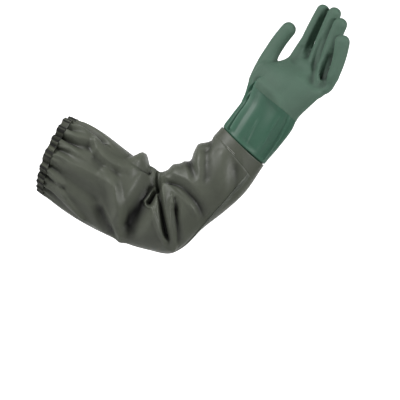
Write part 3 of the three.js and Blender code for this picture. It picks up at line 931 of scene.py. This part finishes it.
def finger(name):
    """A finger with round ends: its first and last rings shrink as a ball's do."""
    centre, way, half, deep, run = finger_path(FINGERS[name])
    angle = np.linspace(0, 2 * math.pi, FINGER_SIDES, endpoint=False)[:, None]
    rings = []
    for k in range(PATH_STEPS):
        left = min((run[-1] - run[k]) / half[-1], (run[k] - run[0]) / half[0])
        ball = math.sqrt(max(1 - max(1 - left, 0) ** 2, TIP_SIZE))
        side = TO_LITTLE - way[k] * (TO_LITTLE @ way[k])
        side /= np.linalg.norm(side)
        front = np.cross(way[k], side)
        rings.append(upright(centre[k] + np.cos(angle) * side * half[k] * ball
                             + np.sin(angle) * front * deep[k] * ball))
    return loft(name, rings)


def palm():
    """The palm goes on from the gauntlet, with the same folds, which fade out above the wrist."""
    around = np.linspace(0, 360, PALM_SIDES, endpoint=False)
    rings = []
    for along in PALM_ROWS:
        at = np.full(PALM_SIDES, along)
        height = gauntlet_height(at, around) * (1 - smooth(*FOLDS_FADE, at))
        rings.append(arm_points(at, around, height))
    return loft("palm", rings)


parts = [palm()] + [finger(name) for name in FINGERS]
bpy.ops.object.select_all(action="DESELECT")
for part in parts:
    part.select_set(True)
bpy.context.view_layer.objects.active = parts[0]
bpy.ops.object.join()
hand = bpy.context.active_object
hand.name = hand.data.name = "Hand"
modify(hand, "REMESH", mode="VOXEL", voxel_size=VOXEL * MM)
print("hand after the remesh:", len(hand.data.polygons), "faces")

# %% [markdown]
# The remesh leaves small steps and a hard groove at each web. Smoothing moves every point towards
# its neighbours: a little everywhere, and much more in a weighted group round the finger roots.
# Then the palm's creases and pads are pressed in, as folds that act on the palm's side only.

# %% Smoothing and the creases of the palm
WEB_HEIGHT = 0.385
WEB_REACH = 0.045
WEB_INNER = 0.215
WEB_EDGE = 0.012
ROOTS = [[0.219, 0.326, 0.042], [0.322, 0.362, 0.036]]  # x, z and reach of two finger roots
ROOT_CORE = 1.5
PALM_SIDE = (0.05, 0.6)
PALM_FOLDS = [
    [229, 359, 269, 370, 302, 360, 15, -2, -3, 0.2, 0.0],
    [284, 380, 305, 362, 326, 382, 14, -4, -5, 0.1, 0.0],
    [247, 478, 253, 437, 261, 396, 9, -3, -4, 0.0, 0.0],
    [284, 405, 295, 386, 305, 364, 6, 2, 5, 0.5, 0.0],
    [294, 424, 301, 398, 307, 374, 11, -4, -7, 0.1, 0.0],
    [266, 440, 274, 408, 290, 376, 7, -2, -4, 0.2, 0.0],
    [246, 410, 249, 392, 246, 372, 12, -3, -2.5, 0.2, 0.0],
    [203, 345, 230, 332, 266, 325, 28, 3, 2, 0.0, 0.0],
]
group = hand.vertex_groups.new(name="webs")
co = np.array([v.co for v in hand.data.vertices])
weights = np.clip(1 - np.abs(co[:, 2] - WEB_HEIGHT) / WEB_REACH, 0, 1)
weights *= smooth(WEB_INNER - WEB_EDGE, WEB_INNER, co[:, 0])
for x, z, reach in ROOTS:
    away = np.hypot(co[:, 0] - x, co[:, 2] - z) / reach
    weights = np.maximum(weights, np.clip(ROOT_CORE - away * ROOT_CORE, 0, 1))
for i, weight in enumerate(weights):
    if weight > 0:
        group.add([i], float(weight), "REPLACE")
modify(hand, "SMOOTH", factor=0.5, iterations=8)
modify(hand, "SMOOTH", factor=0.5, iterations=40, vertex_group="webs")
co = np.array([v.co for v in hand.data.vertices])
normal = np.array([v.normal for v in hand.data.vertices])
facing = smooth(*PALM_SIDE, -normal[:, 1])
press = fold_heights(co[:, 0] / MM, co[:, 2] / MM, PALM_FOLDS, round_it=False)
co += normal * (press * facing * MM)[:, None]
hand.data.vertices.foreach_set("co", co.ravel())
modify(hand, "SMOOTH", factor=0.5, iterations=3)
print("points smoothed at the webs and roots:", int((weights > 0).sum()))

# %% [markdown]
# A dipped glove is a hollow skin with a clean edge at the wrist. A boolean against an inner hand
# could hollow it, but it is slow and leaves splinters, so the closed form is cut open by a bisect
# along the wrist's own plane and Solidify gives it its wall, inwards.

# %% Wrist edge and thickness
HAND_WALL = 1.8
wrist = arm_points(np.full(4, float(COAT_EDGE)), np.array([0.0, 90, 180, 270]), np.zeros(4))
wrist_up = np.cross(wrist[1] - wrist[3], wrist[0] - wrist[2])
wrist_up *= math.copysign(1, wrist_up[2])
select_only(hand)
bpy.ops.object.mode_set(mode="EDIT")
bpy.ops.mesh.select_all(action="SELECT")
bpy.ops.mesh.bisect(plane_co=wrist.mean(0), plane_no=wrist_up, clear_inner=True)
bpy.ops.object.mode_set(mode="OBJECT")
bpy.ops.object.shade_smooth()
mark_crevices(hand, 150, 4)
thicken(hand, HAND_WALL)
on_frame(hand, SANDY, "sandy_coat", "hand")

# %% [markdown]
# ## Cloth
# The sleeve is one sheet of coated fabric. Its flat width is the full girth that the elastic
# gathers, and its flat length runs from the hem to the joint. Hem, band and seam are sewn to it.

# %% [markdown]
# ## Floor, light and camera
# The glove hangs clear of everything on the photograph, against white. A floor and a wall that run
# into each other in one sweep give that without a horizon. A backdrop that glows all over would
# also light the glove and flatten its folds, so only the wall glows, the world is faint, and a key
# lamp and a weaker one on the other side do the rest.

# %% The stage
def sweep():
    """Floor and wall in one sheet with a wide round corner."""
    bpy.ops.mesh.primitive_grid_add(x_subdivisions=2, y_subdivisions=48, size=1)
    obj = bpy.context.active_object
    obj.name = "Backdrop"
    radius, floor, wall, flat, length, width = 2.0, -1.2, 4.0, 4.5, 10.5, 7.0
    arc = radius * math.pi / 2
    for v in obj.data.vertices:
        path = (v.co.y + 0.5) * length
        turn = min(max(path - flat, 0) / radius, math.pi / 2)
        y = wall - radius - max(flat - path, 0) + radius * math.sin(turn)
        z = floor + radius * (1 - math.cos(turn)) + max(path - flat - arc, 0)
        v.co = (v.co.x * width, y, z)
    bpy.ops.object.shade_smooth()
    return obj


backdrop = sweep()
pale = bpy.data.materials.new("Pale backdrop")
pale.use_nodes = True
pale_inputs = pale.node_tree.nodes["Principled BSDF"].inputs
pale_inputs["Base Color"].default_value = (0.9, 0.9, 0.9, 1)
pale_inputs["Roughness"].default_value = 0.9
pale_inputs["Emission Color"].default_value = (1, 1, 1, 1)
pale_tree = pale.node_tree
pale_place = add_node(pale_tree, "ShaderNodeTexCoord")
pale_split = add_node(pale_tree, "ShaderNodeSeparateXYZ")
pale_glow = add_node(pale_tree, "ShaderNodeMapRange",
                     {"From Min": 1.6, "From Max": 2.8, "To Min": 0.0, "To Max": 1.05})
pale_tree.links.new(pale_place.outputs["Object"], pale_split.inputs["Vector"])
pale_tree.links.new(pale_split.outputs["Y"], pale_glow.inputs["Value"])
pale_tree.links.new(pale_glow.outputs["Result"], pale_inputs["Emission Strength"])
backdrop.data.materials.append(pale)

world = bpy.data.worlds.new("Pale world")
bpy.context.scene.world = world
world.use_nodes = True
world.node_tree.nodes["Background"].inputs["Color"].default_value = (1, 1, 1, 1)
world.node_tree.nodes["Background"].inputs["Strength"].default_value = 0.12


def lamp(name, place, target, size, power):
    data = bpy.data.lights.new(name, "AREA")
    data.shape = "RECTANGLE"
    data.size, data.size_y = size
    data.energy = power
    obj = bpy.data.objects.new(name, data)
    bpy.context.scene.collection.objects.link(obj)
    obj.location = place
    obj.rotation_euler = (Vector(target) - Vector(place)).to_track_quat("-Z", "Y").to_euler()
    return obj


MIDDLE = Vector((0.257, 0.0, 0.0825))
PHOTO_ROLL = math.radians(35.5)
right = Vector((math.cos(PHOTO_ROLL), 0, math.sin(PHOTO_ROLL)))
up = Vector((-math.sin(PHOTO_ROLL), 0, math.cos(PHOTO_ROLL)))
back = right.cross(up)
key = lamp("Key lamp", MIDDLE - right * 1.2 + up * 1.7 + back * 1.1, MIDDLE, (0.6, 0.6), 38)
fill = lamp("Fill lamp", MIDDLE + right * 2.0 + up * 0.3 + back * 1.1, MIDDLE, (0.6, 0.6), 31)

# %% [markdown]
# The camera looks along +Y with a long lens, which keeps near and far fingers in proportion, and is
# rolled to the photo's angle. Turning the glove instead would take it off the frame.

# %% The camera
FRAME_WIDTH = 0.700
LENS = 150
SENSOR = 36
distance = FRAME_WIDTH * LENS / SENSOR
camera_data = bpy.data.cameras.new("Camera")
camera_data.lens, camera_data.sensor_width = LENS, SENSOR
camera = bpy.data.objects.new("Camera", camera_data)
bpy.context.scene.collection.objects.link(camera)
turned = Matrix((right, up, back)).transposed().to_4x4()
camera.matrix_world = Matrix.Translation(MIDDLE + back * distance) @ turned
bpy.context.scene.camera = camera
bpy.context.scene.view_settings.view_transform = "Standard"
print("camera:", round(distance, 3), "m away, rolled by", round(math.degrees(PHOTO_ROLL), 1))
